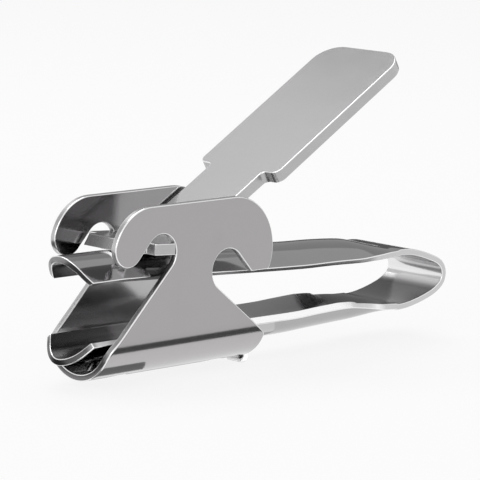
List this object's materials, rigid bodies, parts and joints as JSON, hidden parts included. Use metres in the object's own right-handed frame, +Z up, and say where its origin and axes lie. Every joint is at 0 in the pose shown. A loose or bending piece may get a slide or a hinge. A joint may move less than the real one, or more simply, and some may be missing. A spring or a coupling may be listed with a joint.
{
  "type": "seed sheller pliers",
  "caption": "Lever-operated seed and nut sheller: hairpin spring tongs with trough jaws, held in a U-shaped yoke and squeezed by a bent paddle lever",
  "frame": {"origin": "centre of the bottom of the whole tool's box, on the surface it stands on, under the curl of the hook tab", "axes": "+X runs from the jaws to the spring loop, +Y across the tool from its near side to its far side, +Z up through the lever"},
  "size_m": [0.1156, 0.0248, 0.0689],
  "materials": {
    "yoke_steel": "polished stainless steel sheet with tumbled edges",
    "lever_steel": "polished stainless steel plate with rounded edges",
    "tongs_steel": "polished spring steel strip with darker cut edges"
  },
  "bodies": {
    "root": {"yoke": "yoke_steel", "lower_arm": "tongs_steel"},
    "lever": {"lever": "lever_steel"},
    "upper_arm": {"upper_arm": "tongs_steel"}
  },
  "joints": [
    {"name": "lever_pivot", "type": "hinge", "parent": "root", "child": "lever", "pos_m": [-0.0375, 0, 0.0294], "axis": [0, 1, 0], "range_deg": [0, 25], "stiffness_Nm_per_rad": 0.1, "springref_deg": -22.92},
    {"name": "arm_flex", "type": "hinge", "parent": "root", "child": "upper_arm", "pos_m": [0.0572, 0, 0.01495], "axis": [0, 1, 0], "range_deg": [-3, 0]}
  ],
  "couplings": [
    {"joint": "arm_flex", "follows": "lever_pivot", "ratio": -0.116}
  ]
}
